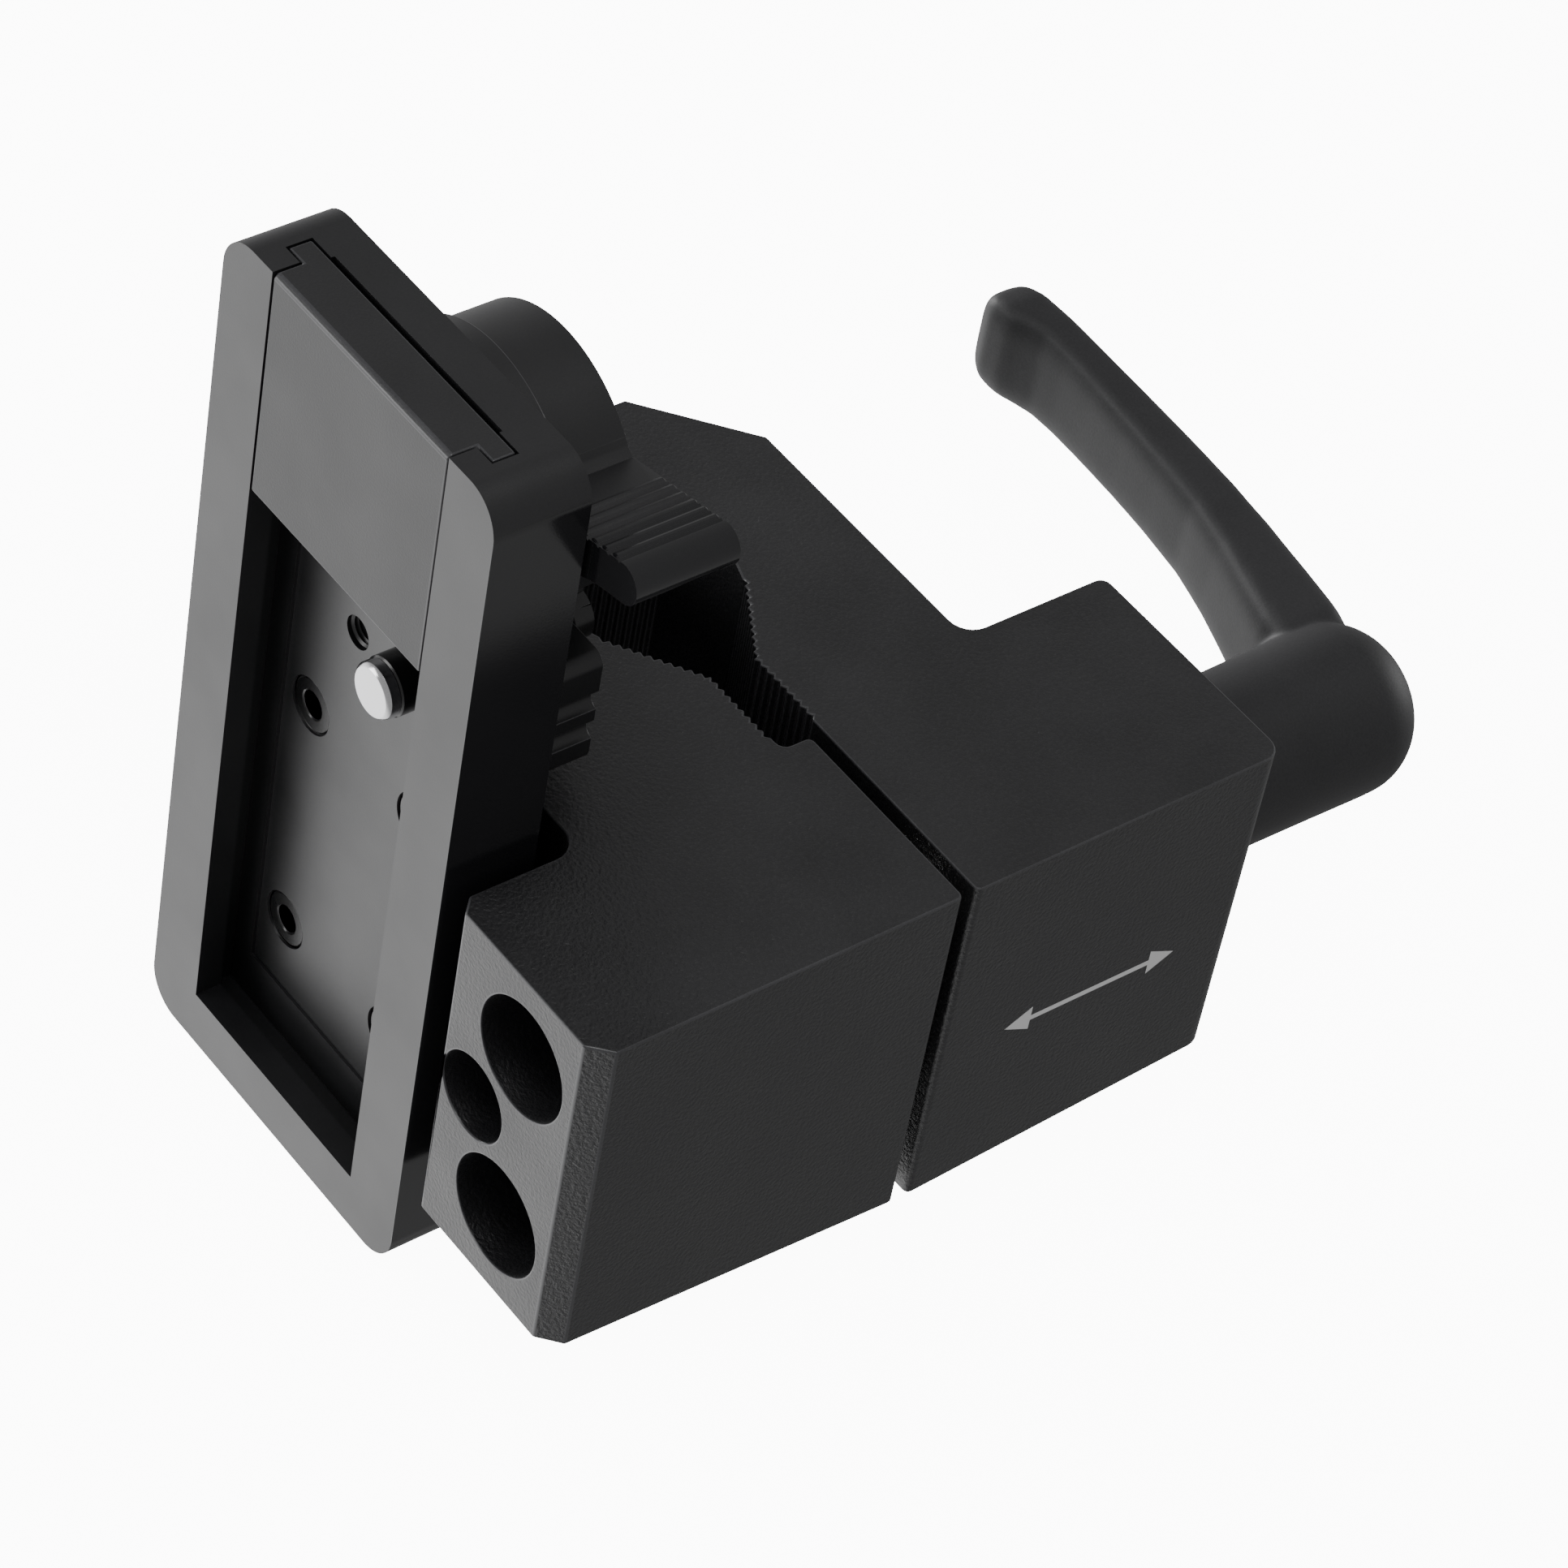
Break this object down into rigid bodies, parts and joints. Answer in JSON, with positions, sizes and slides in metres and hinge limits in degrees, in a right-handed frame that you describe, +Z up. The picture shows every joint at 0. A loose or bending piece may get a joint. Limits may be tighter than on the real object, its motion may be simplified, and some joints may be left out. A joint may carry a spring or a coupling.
{
  "type": "pole clamp with quick-release receiver",
  "caption": "Black pole clamp: toothed vee jaws closed by a long clamping lever, and an upright T-slot receiver with a sprung lock pin and thumb lever.",
  "frame": {"origin": "middle of the receiver's bottom edge, in the receiver's front face, where the slot starts", "axes": "X runs across the receiver towards the jaw blocks, Y from the receiver's front face back towards the clamping lever, Z up the slot towards its open end"},
  "size_m": [0.1156, 0.166, 0.1415],
  "materials": {
    "satin_anodised": "satin black anodised aluminium",
    "blasted_anodised": "bead-blasted black anodised aluminium",
    "powder_coat": "matte black textured powder coat",
    "black_screws": "black oxide",
    "black_steel": "black oxide, smooth",
    "polished_steel": "polished",
    "screw_steel": "turned",
    "spring_steel": "drawn wire",
    "bronze": "turned"
  },
  "bodies": {
    "clamp_body": {"receiver_frame": "satin_anodised", "frame_screws": "black_screws", "base_disc": "satin_anodised", "base_disc_screws": "black_screws", "latch_housing": "satin_anodised", "latch_screws": "black_screws", "pivot_screw": "black_screws", "pivot_washer": "polished_steel", "lever_spring": "spring_steel", "pin_spring": "spring_steel", "front_jaw": "blasted_anodised", "guide_bushes": "bronze", "thread_bush": "bronze"},
    "sliding_plate": {"slide_plate": "satin_anodised"},
    "thumb_lever": {"release_lever": "satin_anodised", "release_cam": "black_steel"},
    "pin": {"lock_pin": "polished_steel", "pin_sleeve": "black_steel", "pin_yoke": "black_steel"},
    "moving_jaw": {"rear_jaw": "blasted_anodised", "upper_guide_rod": "polished_steel", "lower_guide_rod": "polished_steel", "rod_end_washers": "black_steel", "rod_end_screws": "black_screws", "thrust_washer": "polished_steel"},
    "screw": {"clamp_screw": "screw_steel", "screw_ring": "screw_steel", "lever_insert": "screw_steel", "lever_cap_screw": "black_screws", "lever_lift_spring": "spring_steel"},
    "handle": {"clamping_lever": "powder_coat"}
  },
  "joints": [
    {"name": "plate_slide", "type": "slide", "parent": "clamp_body", "child": "sliding_plate", "axis": [0, 0, 1], "range_m": [-0.01, 0.036]},
    {"name": "thumb_lever_turn", "type": "hinge", "parent": "clamp_body", "child": "thumb_lever", "pos_m": [0, 0.026, 0.1155], "axis": [0, 1, 0], "range_deg": [0, 20], "stiffness_Nm_per_rad": 0.3, "springref_deg": -28.65},
    {"name": "pin_draw", "type": "slide", "parent": "clamp_body", "child": "pin", "axis": [0, 1, 0], "range_m": [0, 0.006], "deforming": ["pin_spring"]},
    {"name": "jaw_slide", "type": "slide", "parent": "clamp_body", "child": "moving_jaw", "axis": [0, 1, 0], "range_m": [0, 0.018]},
    {"name": "screw_turn", "type": "hinge", "parent": "moving_jaw", "child": "screw", "pos_m": [0.0417, 0.1148, 0.047], "axis": [0, 1, 0], "range_deg": [0, 3240]},
    {"name": "lever_lift", "type": "slide", "parent": "screw", "child": "handle", "axis": [0, 1, 0], "range_m": [0, 0.004], "stiffness_N_per_m": 800, "springref_m": -0.004, "deforming": ["lever_lift_spring"]}
  ],
  "couplings": [
    {"joint": "pin_draw", "follows": "thumb_lever_turn", "m_per_rad": 0.01718},
    {"joint": "jaw_slide", "follows": "screw_turn", "m_per_rad": 0.0003183}
  ]
}
